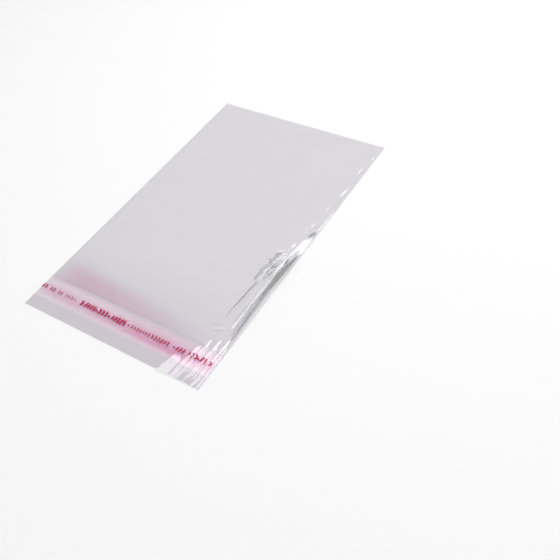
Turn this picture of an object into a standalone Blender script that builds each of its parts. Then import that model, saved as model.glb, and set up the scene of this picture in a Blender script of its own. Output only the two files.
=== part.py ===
"""A clear self-seal film bag, lying flat with its flap open.

One web of film makes the whole bag. It starts at the flap's free edge, runs back under the pouch, turns
over at the bottom fold and comes forward again as the front panel, which ends at the mouth. A hot knife
cuts both long sides and leaves a thin melted bead there, which welds the two panels together. On the flap
lies a line of adhesive, and over it a peel-off liner.

+X runs across the bag, +Y from the flap to the bottom fold and +Z up, in metres. The origin is at the
middle of the outline, on the surface that the bag lies on.
"""

from typing import NamedTuple

import bmesh
import bpy
import numpy as np

# The bag's flat sizes
BAG_WIDTH = 0.140
POUCH_LENGTH = 0.204
FLAP_LENGTH = 0.026

# The film and its side welds
FILM_THICKNESS = 0.00005
WELD_RADIUS = 0.00025
WELD_PANEL_GAP = 0.0002  # between the middles of the two panels, inside the bead
WELD_OVERRUN = 0.0001  # how far the bead runs past the film at each end
WELD_RISE_RUN = 0.006  # the strip beside a weld in which the film climbs from the table to the bead

# The air between the panels
POUCH_LOFT = 0.0012
MOUTH_LOFT_SHARE = 0.35
MOUTH_RUN = 0.035  # how far inside the mouth the front panel reaches its full loft

# The closure on the flap
LINER_MARGIN = 0.009  # from the flap's free edge to the liner
LINER_WIDTH = 0.015
LINER_THICKNESS = 0.00006
ADHESIVE_WIDTH = 0.008
ADHESIVE_THICKNESS = 0.00004
SEAT_GAP = 0.0003  # between pieces that lie on each other

# How finely the sheets are divided
PLAIN_COLUMNS = 9
CREASED_COLUMNS = 22
CREASED_RUN = 0.033  # the creased strip beside the right weld
FLAP_ROWS = 7
PANEL_ROWS = 38
FOLD_ROWS = 4
STRIP_ROWS = 3
WELD_POINTS = 72


class Crease(NamedTuple):
    """A straight ridge in the film, from its near end to its far end."""

    near_inset: float  # from the bag's right side
    near_from_flap: float  # from the flap's free edge
    far_inset: float
    far_from_flap: float
    height: float
    half_width: float


CREASES = (
    # Along the right weld, from the flap up past the middle
    Crease(0.0045, -0.004, 0.0040, 0.066, 0.0022, 0.0034),
    Crease(0.0050, 0.044, 0.0030, 0.118, 0.0026, 0.0036),
    Crease(0.0040, 0.104, 0.0055, 0.168, 0.0012, 0.0034),
    Crease(0.0060, 0.150, 0.0035, 0.224, 0.0009, 0.0036),
    # Across the end of the closure
    Crease(0.0120, -0.003, 0.0105, 0.046, 0.0017, 0.0034),
    Crease(0.0195, 0.002, 0.0165, 0.034, 0.0010, 0.0040),
    # The long slanting crease and the crumpled knot at its top
    Crease(0.0150, 0.043, 0.0095, 0.090, 0.0013, 0.0032),
    Crease(0.0165, 0.078, 0.0060, 0.090, 0.0016, 0.0038),
    Crease(0.0150, 0.094, 0.0050, 0.108, 0.0014, 0.0038),
)

NAME = "self_seal_bag"

# Places that follow from the sizes
TOTAL_LENGTH = FLAP_LENGTH + POUCH_LENGTH
FILM_HALF_WIDTH = BAG_WIDTH / 2 - WELD_RADIUS
FLAP_EDGE_Y = -TOTAL_LENGTH / 2
MOUTH_Y = FLAP_EDGE_Y + FLAP_LENGTH
FOLD_Y = TOTAL_LENGTH / 2
LINER_Y = FLAP_EDGE_Y + LINER_MARGIN + LINER_WIDTH / 2
STRIP_HALF_LENGTH = BAG_WIDTH / 2 - 2 * WELD_RADIUS - SEAT_GAP


def clear_scene():
    """Remove every object of the open scene."""
    for obj in list(bpy.data.objects):
        bpy.data.objects.remove(obj, do_unlink=True)


def collection_named(name):
    """Make a collection in the scene."""
    collection = bpy.data.collections.new(name)
    bpy.context.scene.collection.children.link(collection)
    return collection


def material(name, color, roughness, alpha=1.0, ior=1.5):
    """Make a plain Principled material. The colour is linear RGB."""
    mat = bpy.data.materials.new(name)
    mat.use_nodes = True
    shader = mat.node_tree.nodes["Principled BSDF"]
    shader.inputs["Base Color"].default_value = (*color, 1.0)
    shader.inputs["Roughness"].default_value = roughness
    shader.inputs["Metallic"].default_value = 0.0
    shader.inputs["Alpha"].default_value = alpha
    shader.inputs["IOR"].default_value = ior
    return mat


def smooth(t):
    """Rise from 0 to 1 with level ends as t runs from 0 to 1."""
    t = np.clip(t, 0.0, 1.0)
    return t * t * (3.0 - 2.0 * t)


def crease_height(crease, x, y):
    """The height that one ridge adds: a rounded tent across it, which dies out at both ends."""
    start = np.array((BAG_WIDTH / 2 - crease.near_inset, FLAP_EDGE_Y + crease.near_from_flap))
    run = np.array((BAG_WIDTH / 2 - crease.far_inset, FLAP_EDGE_Y + crease.far_from_flap)) - start
    along = ((x - start[0]) * run[0] + (y - start[1]) * run[1]) / (run @ run)
    across = np.abs((x - start[0]) * run[1] - (y - start[1]) * run[0]) / np.hypot(*run)
    tent = smooth(1.0 - across / crease.half_width)
    inside = (along > 0.0) & (along < 1.0)
    return crease.height * tent * np.where(inside, 1.0 - (2.0 * along - 1.0) ** 4, 0.0)


def lift(x, y):
    """How far the creases hold the film off the table: the highest ridge at each point."""
    return np.max([crease_height(crease, x, y) for crease in CREASES], axis=0)


def back_height(x, y):
    """The middle of the back panel and the flap, which lie on the table and climb to the side beads."""
    at_weld = WELD_RADIUS - WELD_PANEL_GAP / 2
    climb = smooth((np.abs(x) - FILM_HALF_WIDTH + WELD_RISE_RUN) / WELD_RISE_RUN)
    return FILM_THICKNESS / 2 + (at_weld - FILM_THICKNESS / 2) * climb + lift(x, y)


def panel_gap(x, y):
    """The distance between the middles of the two panels: least at the welds and at the bottom fold."""
    across = 1.0 - np.abs(x / FILM_HALF_WIDTH) ** 4
    from_mouth = np.clip((y - MOUTH_Y) / POUCH_LENGTH, 0.0, 1.0)
    mouth = MOUTH_LOFT_SHARE + (1.0 - MOUTH_LOFT_SHARE) * smooth((y - MOUTH_Y) / MOUTH_RUN)
    return WELD_PANEL_GAP + POUCH_LOFT * across * mouth * (1.0 - from_mouth**4)


def column_x(u, half_length):
    """Spread the columns over the sheet's width: wide ones first, narrow ones in the creased strip."""
    share = PLAIN_COLUMNS / (PLAIN_COLUMNS + CREASED_COLUMNS)
    return np.interp(u, (0.0, share, 1.0), (-half_length, BAG_WIDTH / 2 - CREASED_RUN, half_length))


def web_point(u, v):
    """The film web as a surface: u runs across it, and v along it from the flap's edge to the mouth.

    The row number tells where along the web a point lies. Flap rows and panel rows step along Y on the
    table, fold rows turn half a circle, and the last panel rows step back over the top to the mouth.
    """
    x = column_x(u, FILM_HALF_WIDTH)
    row = v * (FLAP_ROWS + 2 * PANEL_ROWS + FOLD_ROWS)
    flap_end = FLAP_ROWS
    back_end = flap_end + PANEL_ROWS
    fold_end = back_end + FOLD_ROWS
    front_end = fold_end + PANEL_ROWS
    turn = np.pi * np.clip((row - back_end) / FOLD_ROWS, 0.0, 1.0)
    fold_radius = WELD_PANEL_GAP / 2
    fold_start = FOLD_Y - fold_radius - FILM_THICKNESS / 2
    stations = (0, flap_end, back_end, fold_end, front_end)
    y = np.interp(row, stations, (FLAP_EDGE_Y, MOUTH_Y, fold_start, fold_start, MOUTH_Y))
    climb = np.where(row < fold_end, fold_radius * (1.0 - np.cos(turn)), panel_gap(x, y))
    return x, y + fold_radius * np.sin(turn), back_height(x, y) + climb


def strip_point(u, v, width, height):
    """A strip on the flap: u runs along it across the bag, v over its width, at a height over the film."""
    x = column_x(u, STRIP_HALF_LENGTH)
    y = LINER_Y + (v - 0.5) * width
    return x, y, back_height(x, y) + height


def sheet(name, columns, rows, point, thickness, mat, collection):
    """Bend a flat grid into a sheet with a thickness. point takes the grid's u and v, each from 0 to 1."""
    grid = bmesh.new()
    bmesh.ops.create_grid(grid, x_segments=columns, y_segments=rows, size=0.5)
    mesh = bpy.data.meshes.new(name)
    grid.to_mesh(mesh)
    grid.free()
    flat = np.empty(len(mesh.vertices) * 3, np.float32)
    mesh.vertices.foreach_get("co", flat)
    u, v = flat.reshape(-1, 3)[:, :2].T.astype(float) + 0.5
    mesh.vertices.foreach_set("co", np.column_stack(point(u, v)).astype(np.float32).ravel())
    mesh.materials.append(mat)
    mesh.shade_smooth()
    obj = bpy.data.objects.new(name, mesh)
    collection.objects.link(obj)
    wall = obj.modifiers.new("wall", "SOLIDIFY")
    wall.thickness = thickness
    wall.offset = 0.0
    return obj


def weld_bead(side, mat, collection):
    """The melted bead along one side, as a mesh: side is -1 at the left and +1 at the right."""
    y = np.linspace(FLAP_EDGE_Y - WELD_OVERRUN, FOLD_Y + WELD_OVERRUN, WELD_POINTS)
    x = np.full_like(y, side * FILM_HALF_WIDTH)
    z = back_height(x, y) + WELD_PANEL_GAP / 2
    curve = bpy.data.curves.new("bead_path", "CURVE")
    curve.dimensions = "3D"
    curve.bevel_depth = WELD_RADIUS
    curve.bevel_resolution = 2
    curve.use_fill_caps = True
    spline = curve.splines.new("POLY")
    spline.points.add(WELD_POINTS - 1)
    spline.points.foreach_set("co", np.column_stack((x, y, z, np.ones_like(y))).ravel())
    path = bpy.data.objects.new("bead_path", curve)
    collection.objects.link(path)
    bpy.context.view_layer.update()
    evaluated = path.evaluated_get(bpy.context.evaluated_depsgraph_get())
    mesh = bpy.data.meshes.new_from_object(evaluated)
    bpy.data.objects.remove(path, do_unlink=True)
    tube = bmesh.new()
    tube.from_mesh(mesh)
    bmesh.ops.remove_doubles(tube, verts=tube.verts, dist=WELD_RADIUS / 100)
    tube.to_mesh(mesh)
    tube.free()
    mesh.materials.clear()
    mesh.materials.append(mat)
    bead = bpy.data.objects.new("bead_left" if side < 0 else "bead_right", mesh)
    collection.objects.link(bead)
    bead.display_type = "WIRE"
    bead.hide_render = True
    return bead


def bag_film(collection, helpers):
    """The folded web with its two side welds, as one body that is open at the mouth."""
    clear_film = material("polypropylene_film", (0.68, 0.67, 0.72), 0.12, alpha=0.35)
    rows = FLAP_ROWS + 2 * PANEL_ROWS + FOLD_ROWS
    columns = PLAIN_COLUMNS + CREASED_COLUMNS
    film = sheet("bag_film", columns, rows, web_point, FILM_THICKNESS, clear_film, collection)
    for side in (-1, 1):
        weld = film.modifiers.new("weld", "BOOLEAN")
        weld.operation = "UNION"
        weld.solver = "EXACT"
        weld.object = weld_bead(side, clear_film, helpers)
    return film


def closure(collection):
    """The adhesive line on the flap and the peel-off liner over it."""
    columns = PLAIN_COLUMNS + CREASED_COLUMNS
    glue = material("adhesive", (0.80, 0.74, 0.76), 0.35, alpha=0.5)
    tape = material("release_liner", (0.74, 0.56, 0.66), 0.30, alpha=0.7)
    over_film = FILM_THICKNESS / 2 + SEAT_GAP + ADHESIVE_THICKNESS / 2
    over_adhesive = over_film + ADHESIVE_THICKNESS / 2 + SEAT_GAP + LINER_THICKNESS / 2

    def adhesive_point(u, v):
        return strip_point(u, v, ADHESIVE_WIDTH, over_film)

    def liner_point(u, v):
        return strip_point(u, v, LINER_WIDTH, over_adhesive)

    return (
        sheet("adhesive_strip", columns, STRIP_ROWS, adhesive_point, ADHESIVE_THICKNESS, glue, collection),
        sheet("release_liner", columns, STRIP_ROWS, liner_point, LINER_THICKNESS, tape, collection),
    )


def main():
    """Build the bag."""
    clear_scene()
    parts = collection_named(NAME)
    helpers = collection_named("weld_beads")
    bag_film(parts, helpers)
    closure(parts)


if __name__ == "__main__":
    main()
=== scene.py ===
"""A clear self-seal film bag, lying flat with its flap open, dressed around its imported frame.

One web of oriented polypropylene film makes the bag: flap, back panel, bottom fold and front panel. Melted
beads weld its two long sides. On the flap lies a line of adhesive under a pink peel-off liner, and on the
liner a crimson printed line. +X runs across the bag, +Y from the flap to the bottom fold and +Z up.
"""

import logging
import math
from dataclasses import dataclass, field
from enum import Enum
from typing import Callable, Mapping, Sequence

import bpy
import numpy as np
from mathutils import Euler, Matrix, Vector


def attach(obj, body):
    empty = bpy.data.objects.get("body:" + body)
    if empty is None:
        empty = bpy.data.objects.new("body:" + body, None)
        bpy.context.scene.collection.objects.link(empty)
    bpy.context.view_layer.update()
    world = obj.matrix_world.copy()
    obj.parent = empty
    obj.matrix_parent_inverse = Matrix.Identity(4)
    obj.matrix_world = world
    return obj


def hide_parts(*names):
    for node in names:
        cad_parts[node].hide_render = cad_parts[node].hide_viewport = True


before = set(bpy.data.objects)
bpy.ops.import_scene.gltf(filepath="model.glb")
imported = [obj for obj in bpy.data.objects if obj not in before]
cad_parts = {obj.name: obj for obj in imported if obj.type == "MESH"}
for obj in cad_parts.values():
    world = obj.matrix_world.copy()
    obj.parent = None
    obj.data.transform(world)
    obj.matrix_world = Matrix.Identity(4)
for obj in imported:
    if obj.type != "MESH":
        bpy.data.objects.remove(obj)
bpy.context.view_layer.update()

LOG = logging.getLogger("self_seal_bag")
MM = 0.001
SEED = 20

Place = tuple[float, float]
Range = tuple[float, float]
Line = tuple[Place, Place]


def linear(hex_colour: str) -> tuple[float, float, float, float]:
    """Turn an sRGB colour written as #RRGGBB into linear RGBA, by the curve that the standard gives.

    Args:
        hex_colour: the colour as it looks on a screen.

    Returns:
        Linear red, green and blue, and an alpha of 1.
    """
    shares = (int(hex_colour[i : i + 2], 16) / 255 for i in (1, 3, 5))
    red, green, blue = (s / 12.92 if s <= 0.04045 else ((s + 0.055) / 1.055) ** 2.4 for s in shares)
    return red, green, blue, 1.0


def smooth(t: np.ndarray) -> np.ndarray:
    """Rise from 0 to 1 with level ends as t runs from 0 to 1: three t squared less two t cubed."""
    t = np.clip(t, 0.0, 1.0)
    return t * t * (3.0 - 2.0 * t)


# The bag's shape


@dataclass(frozen=True)
class BagSizes:
    """The bag's sizes in metres, the same as the solid model's."""

    width: float = 0.140
    pouch_length: float = 0.204
    flap_length: float = 0.026
    film: float = 0.00005
    weld_radius: float = 0.00025
    weld_gap: float = 0.0002
    weld_overrun: float = 0.0001
    weld_rise: float = 0.006
    loft: float = 0.0012
    mouth_loft: float = 0.35
    mouth_run: float = 0.035
    liner_margin: float = 0.009
    liner_width: float = 0.015
    liner: float = 0.00006
    adhesive_width: float = 0.008
    adhesive: float = 0.00004
    seat_gap: float = 0.0003

    @property
    def half_film(self) -> float:
        """From the middle line to the middle of a weld bead."""
        return self.width / 2 - self.weld_radius

    @property
    def flap_edge(self) -> float:
        """The Y of the flap's free edge."""
        return -(self.flap_length + self.pouch_length) / 2

    @property
    def mouth(self) -> float:
        """The Y of the front panel's edge."""
        return self.flap_edge + self.flap_length

    @property
    def fold(self) -> float:
        """The Y of the bottom fold."""
        return (self.flap_length + self.pouch_length) / 2

    @property
    def liner_middle(self) -> float:
        """The Y of the liner's and the adhesive's middle line."""
        return self.flap_edge + self.liner_margin + self.liner_width / 2

    @property
    def strip_half_length(self) -> float:
        """Half the length of the liner and the adhesive, which stop short of the weld beads."""
        return self.width / 2 - 2 * self.weld_radius - self.seat_gap

    def place(self, inset: float, from_flap: float) -> np.ndarray:
        """Turn millimetres from the right side and from the flap's edge into X and Y."""
        return np.array((self.width / 2 - inset * MM, self.flap_edge + from_flap * MM))

    def from_line(self, line: Line, x: np.ndarray, y: np.ndarray) -> tuple[np.ndarray, np.ndarray]:
        """Measure points from a line on the bag.

        Args:
            line: the near and the far end, in millimetres from the right side and from the flap's edge.
            x: X of each point.
            y: Y of each point.

        Returns:
            How far along the line each point lies, as a share of it, and how far to its right, in metres.
        """
        start = self.place(*line[0])
        run = self.place(*line[1]) - start
        along = ((x - start[0]) * run[0] + (y - start[1]) * run[1]) / (run @ run)
        aside = ((x - start[0]) * run[1] - (y - start[1]) * run[0]) / np.hypot(*run)
        return along, aside


@dataclass(frozen=True)
class Crease:
    """A ridge pressed into the film. Lengths are millimetres.

    Places are distances from the bag's right side and from the flap's free edge.
    """

    near: Place
    far: Place
    height: float
    left: float  # the slope's width to the left of the line
    right: float
    crest: float = 0.25  # the radius that rounds the ridge
    hollow: float = 1.4  # 1 for plane flanks
    blunt: int = 4  # 2 for pointed ends
    end_width: float = 0.2  # the share of the slopes' width that is left at the ends

    def relief(self, sizes: BagSizes, x: np.ndarray, y: np.ndarray) -> np.ndarray:
        """Work out the height that the ridge adds.

        Across the ridge stands a tent: one less the distance from its line over the slope's width, to a
        power. At a power of 1 its flanks are plane, and above it they are hollow. The distance is rounded
        at the crest, as the square root of its own square plus the crest radius squared. Along the ridge
        the height is one less a power of the distance from its middle, so both ends die out, and the
        slopes narrow with it.

        Args:
            sizes: the bag's sizes.
            x: X of each point.
            y: Y of each point.

        Returns:
            The height at each point, in metres.
        """
        along, aside = sizes.from_line((self.near, self.far), x, y)
        ends = np.clip(1.0 - (2.0 * along - 1.0) ** self.blunt, 0.0, 1.0)
        slope = np.where(aside > 0.0, self.right, self.left) * MM
        width = slope * (self.end_width + (1.0 - self.end_width) * ends)
        crest = self.crest * MM
        distance = np.sqrt(aside**2 + crest**2) - crest
        return self.height * MM * ends * np.clip(1.0 - distance / width, 0.0, 1.0) ** self.hollow


@dataclass(frozen=True)
class Crescent:
    """A short curved buckle, as thin film makes where it is dented. Lengths are millimetres."""

    centre: Place
    radius: float
    turn: float  # the direction of the arc's middle, in degrees
    spread: float  # from there to each end, in degrees
    height: float
    width: float

    def relief(self, sizes: BagSizes, x: np.ndarray, y: np.ndarray) -> np.ndarray:
        """Work out the height that the buckle adds.

        It is a tent over an arc: one less the distance from the arc over its width, squared, times one
        less the squared share of the spread that the point's direction is away from the arc's middle.

        Args:
            sizes: the bag's sizes.
            x: X of each point.
            y: Y of each point.

        Returns:
            The height at each point, in metres.
        """
        middle = sizes.place(*self.centre)
        away = np.hypot(x - middle[0], y - middle[1])
        angle = np.degrees(np.arctan2(y - middle[1], x - middle[0])) - self.turn
        angle = (angle + 180.0) % 360.0 - 180.0
        tent = np.clip(1.0 - np.abs(away - self.radius * MM) / (self.width * MM), 0.0, 1.0) ** 2
        return self.height * MM * tent * np.clip(1.0 - (angle / self.spread) ** 2, 0.0, 1.0)


@dataclass(frozen=True)
class Swell:
    """A low dome where the film bulges. Lengths are millimetres, and turn is in degrees."""

    centre: Place
    half_length: float
    half_width: float
    turn: float
    height: float

    def relief(self, sizes: BagSizes, x: np.ndarray, y: np.ndarray) -> np.ndarray:
        """Work out the dome: its height times the square of one less the squared distance in its oval.

        Args:
            sizes: the bag's sizes.
            x: X of each point.
            y: Y of each point.

        Returns:
            The height at each point, in metres.
        """
        middle = sizes.place(*self.centre)
        c, s = math.cos(math.radians(self.turn)), math.sin(math.radians(self.turn))
        along = ((x - middle[0]) * c + (y - middle[1]) * s) / (self.half_length * MM)
        across = ((y - middle[1]) * c - (x - middle[0]) * s) / (self.half_width * MM)
        return self.height * MM * np.clip(1.0 - along**2 - across**2, 0.0, 1.0) ** 2


@dataclass(frozen=True)
class LeafPatch:
    """A leaf-shaped patch, which carries painted fold shade in one table and painted highlight in another.
    Millimetres.
    """

    near: Place
    far: Place
    half_width: float
    share: float
    fullest: float = 0.5  # where along it the leaf is widest
    fade: float = 0.35  # the share of the half width over which the edge fades
    tip_rise: float = 4.0  # how soon the patch comes up from its tips

    def amount(self, sizes: BagSizes, x: np.ndarray, y: np.ndarray) -> np.ndarray:
        """Work out how strongly the patch shows at each point.

        The patch is a leaf: its half width at a place along it is the full half width times the sine of
        pi times that place, bent so that it is widest at its fullest place. Its edge and tips fade.

        Args:
            sizes: the bag's sizes.
            x: X of each point.
            y: Y of each point.

        Returns:
            A share from 0 to 1 at each point.
        """
        along, aside = sizes.from_line((self.near, self.far), x, y)
        bent = np.clip(along, 0.0, 1.0) ** (math.log(0.5) / math.log(self.fullest))
        leaf = np.sin(np.pi * bent)
        edge = (leaf - np.abs(aside) / (self.half_width * MM)) / self.fade
        return self.share * smooth(edge + 0.5) * smooth(self.tip_rise * leaf)


# Ridges that both panels and the closure follow. Each row gives the near and the far end, the height, the
# slopes' widths to the left and right, and then the crest, the hollow and the bluntness.
GROUND_CREASES = (
    # Along the right weld
    Crease((0.4, 38.0), (0.2, 114.0), 2.1, 4.6, 3.0, 0.5, 1.2),
    Crease((7.8, 43.0), (5.4, 112.0), 0.35, 2.0, 4.6, 0.2, 1.0),
    Crease((7.2, 97.0), (4.2, 134.0), 1.7, 1.3, 5.2, 0.3, 1.0, 2),
    Crease((3.0, 128.0), (4.6, 178.0), 0.25, 3.0, 3.0, 0.6),
    Crease((5.4, 160.0), (3.2, 224.0), 0.2, 2.8, 3.0, 0.6),
    # Across the end of the closure
    Crease((2.4, -16.0), (1.7, 33.0), 0.5, 0.6, 1.5, 0.12, 1.0, 2),
    Crease((6.4, -12.0), (3.4, 38.0), 0.95, 0.7, 2.5, 0.12, 1.0, 2),
    Crease((8.8, -20.0), (6.4, 30.0), 0.55, 0.5, 1.6, 0.12, 1.0, 2),
    Crease((12.8, -14.0), (8.2, 35.0), 1.15, 0.8, 3.0, 0.12, 1.0, 2),
    Crease((15.0, -22.0), (11.6, 29.0), 0.6, 0.5, 1.6, 0.12, 1.0, 2),
    Crease((18.0, -12.0), (13.6, 33.0), 1.2, 0.8, 3.2, 0.15, 1.0, 2),
    Crease((22.6, -18.0), (17.4, 27.0), 1.6, 1.1, 4.3, 0.2, 1.0, 2),
    Crease((33.0, -20.0), (25.8, 16.0), 2.6, 2.2, 8.2, 0.3, 1.0),
    # The knot at the top of the slanting crease
    Crease((18.4, 87.0), (9.6, 97.0), 0.5, 3.4, 3.4),
    Crease((16.8, 101.0), (9.0, 112.0), 0.4, 3.4, 3.4),
)

GROUND_SWELLS = (
    Swell(centre=(11.0, 2.0), half_length=12.0, half_width=7.0, turn=-25.0, height=0.8),
)

# Fine folds in the front panel alone
FRONT_CREASES = (
    # The slanting crease and the bright line that runs on from it
    Crease((15.4, 48.0), (13.0, 86.0), 0.15, 1.1, 1.5),
    Crease((14.0, 80.0), (10.0, 114.0), 0.42, 0.6, 1.2, 0.12, 1.0),
    Crease((12.6, 84.0), (9.6, 105.0), 0.3, 0.5, 0.9, 0.12, 1.0),
    # The bright line left of the dark band, and the leaf at its top
    Crease((7.7, 48.0), (5.8, 104.0), 0.17, 0.4, 0.7, 0.08, 1.0, 2),
    Crease((7.6, 88.0), (5.8, 108.0), 0.55, 0.6, 2.0, 0.15, 1.0),
    # Glints towards the fold
    Crease((9.6, 116.0), (8.8, 121.0), 0.45, 0.8, 1.3, 0.15, 1.0),
    Crease((7.4, 137.0), (6.8, 142.0), 0.4, 0.7, 1.2, 0.15, 1.0),
    Crease((6.6, 151.0), (5.4, 163.0), 0.25, 1.1, 1.2),
    Crease((4.6, 171.0), (3.4, 181.0), 0.3, 1.1, 1.2),
    Crease((5.0, 197.0), (3.8, 206.0), 0.3, 1.1, 1.2),
    Crease((2.4, 214.0), (1.6, 225.0), 0.4, 1.1, 1.2),
)

FRONT_CRESCENTS = (
    Crescent(centre=(6.6, 134.0), radius=2.6, turn=200.0, spread=70.0, height=0.35, width=1.1),
)

# Painted shade: patches that darken the film as if it lay folded on itself. Each row gives the near and the
# far end, the half width, how strongly it shows, and where it is fullest.
PAINTED_SHADE_PATCHES = (
    # The painted dark band beside the right weld: its body, its paler foot and that foot's dark border
    LeafPatch((4.7, 54.0), (2.9, 117.0), 3.2, 0.5, 0.68),
    LeafPatch((4.3, 58.0), (2.6, 114.0), 2.6, 0.56, 0.7),
    LeafPatch((4.4, 37.0), (4.4, 84.0), 2.6, 0.2),
    LeafPatch((2.5, 35.0), (2.5, 80.0), 0.8, 0.62, 0.42),
    # Painted shade: the thin line along the left of the bright line
    LeafPatch((8.6, 45.0), (7.4, 74.0), 0.35, 0.5),
    # Painted shade on the slanting crease, on the grey facet right of the knot, and in the spot beyond the
    # bright patch
    LeafPatch((15.5, 47.5), (12.9, 88.0), 0.62, 0.7),
    LeafPatch((11.8, 82.0), (8.2, 105.0), 2.1, 0.38, 0.6),
    LeafPatch((3.6, 128.0), (1.6, 135.0), 1.3, 0.6),
    # Painted shade on the upper border of the level buckle near the closure
    LeafPatch((20.0, 40.9), (10.9, 45.0), 0.7, 0.1),
)

# Painted highlights: near-white along sharp folds of the front panel, in rows of the same kind
PAINTED_HIGHLIGHT_PATCHES = (
    LeafPatch((18.0, 38.3), (9.4, 42.8), 1.0, 0.28),
    LeafPatch((14.1, 79.0), (10.1, 113.0), 0.45, 0.6),
    LeafPatch((15.8, 107.5), (9.8, 112.5), 1.1, 0.45),
    LeafPatch((8.0, 44.0), (5.8, 106.0), 0.32, 1.0),
    LeafPatch((7.9, 86.0), (6.3, 108.0), 1.4, 1.0, 0.6),
    LeafPatch((10.0, 118.0), (6.4, 132.0), 1.2, 0.08),
    LeafPatch((8.0, 131.0), (6.8, 150.0), 0.8, 0.1),
    LeafPatch((3.6, 188.0), (2.6, 214.0), 0.6, 0.17),
    LeafPatch((16.6, 14.0), (14.2, 34.0), 0.5, 0.35),
    LeafPatch((10.6, 12.0), (8.0, 36.0), 0.5, 0.4),
)


@dataclass(frozen=True)
class Knot:
    """A crumpled patch: many short creases that branch from one line. Lengths are millimetres."""

    near: Place
    far: Place
    count: int
    reach: Range
    angle: Range
    height: Range
    # How dark the painted shade along each crease is
    painted_shade: Range
    half_width: Range
    left_share: float
    nudge: float = 0.4  # of a step
    slopes: tuple[float, float] = (0.7, 1.1)
    crest: float = 0.15

    def draws(self, rng: np.random.Generator) -> tuple[list[Crease], list[LeafPatch]]:
        """Draw the creases of the knot.

        Each starts at an even step along the line, nudged by chance, and leaves it to the left or the
        right, by the given share, at an angle from the given range. Painted shade lies along each, in a
        leaf whose half width and darkness come by chance too.

        Args:
            rng: the seeded source of chance.

        Returns:
            The creases, and the painted shade that lies along each.
        """
        near, far = np.array(self.near), np.array(self.far)
        line = (far - near) / np.hypot(*(far - near))
        aside = np.array((line[1], -line[0]))
        nudges = rng.uniform(-self.nudge, self.nudge, self.count)
        steps = (np.arange(self.count) + nudges) / self.count
        reach = rng.uniform(*self.reach, self.count)
        angle = np.radians(rng.uniform(*self.angle, self.count))
        side = np.where(rng.random(self.count) < self.left_share, -1.0, 1.0)
        height = rng.uniform(*self.height, self.count)
        dark = rng.uniform(*self.painted_shade, self.count)
        starts = near + steps[:, None] * (far - near)
        ends = starts + reach[:, None] * (
            np.cos(angle)[:, None] * line + (side * np.sin(angle))[:, None] * aside
        )
        broad = rng.uniform(*self.half_width, self.count)
        creases = [
            Crease(tuple(s), tuple(e), h, *self.slopes, crest=self.crest, hollow=1.0)
            for s, e, h in zip(starts, ends, height)
        ]
        patches = zip(starts, ends, broad, dark)
        painted_shade = [LeafPatch(tuple(s), tuple(e), b, d) for s, e, b, d in patches]
        return creases, painted_shade


KNOTS = (
    Knot(
        near=(14.2, 83.0),
        far=(11.2, 109.0),
        count=26,
        reach=(2.0, 5.5),
        angle=(60.0, 115.0),
        height=(0.08, 0.35),
        # Painted shade along these creases
        painted_shade=(0.12, 0.6),
        half_width=(0.55, 1.15),
        left_share=0.1,
    ),
    Knot(
        near=(12.2, 84.0),
        far=(9.2, 110.0),
        count=12,
        reach=(1.5, 4.5),
        angle=(8.0, 50.0),
        height=(0.1, 0.35),
        # Painted shade along these creases
        painted_shade=(0.0, 0.4),
        half_width=(0.45, 0.85),
        left_share=0.5,
    ),
)


@dataclass(frozen=True)
class FaintStreaks:
    """Long faint folds that run along the bag beside the right weld. Lengths are millimetres."""

    count: int = 16
    inset: Range = (1.5, 24.0)
    crowding: float = 1.6  # above 1 they crowd towards the weld
    from_flap: Range = (30.0, 205.0)
    furthest: float = 228.0
    length: Range = (14.0, 46.0)
    drift: Range = (-1.6, 0.6)
    height: Range = (0.03, 0.12)
    slope: float = 1.1

    def draws(self, rng: np.random.Generator) -> list[Crease]:
        """Draw the streaks by chance within the given ranges.

        Args:
            rng: the seeded source of chance.

        Returns:
            The streaks as creases.
        """
        nearest, deepest = self.inset
        inset = nearest + (deepest - nearest) * rng.random(self.count) ** self.crowding
        start = rng.uniform(*self.from_flap, self.count)
        length = rng.uniform(*self.length, self.count)
        drift = rng.uniform(*self.drift, self.count)
        height = rng.uniform(*self.height, self.count)
        nears = zip(inset, start)
        fars = zip(inset + drift, np.minimum(start + length, self.furthest))
        return [Crease(n, f, h, self.slope, self.slope) for n, f, h in zip(nears, fars, height)]


@dataclass(frozen=True)
class SlowWave:
    """The slow wave of film that is never quite flat. Lengths are metres."""

    height: float = 0.00012
    across: float = 0.083
    across_skew: float = 0.3
    across_start: float = 0.6  # radians
    along: float = 0.131
    along_skew: float = 0.2

    def relief(self, x: np.ndarray, y: np.ndarray) -> np.ndarray:
        """Work out the wave: its height times two sines of unlike lengths, each askew to the bag.

        Args:
            x: X of each point.
            y: Y of each point.

        Returns:
            The height at each point, in metres.
        """
        first = np.sin(2 * np.pi * (x + self.across_skew * y) / self.across + self.across_start)
        second = np.sin(2 * np.pi * (y - self.along_skew * x) / self.along)
        return self.height * (first * second)


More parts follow.
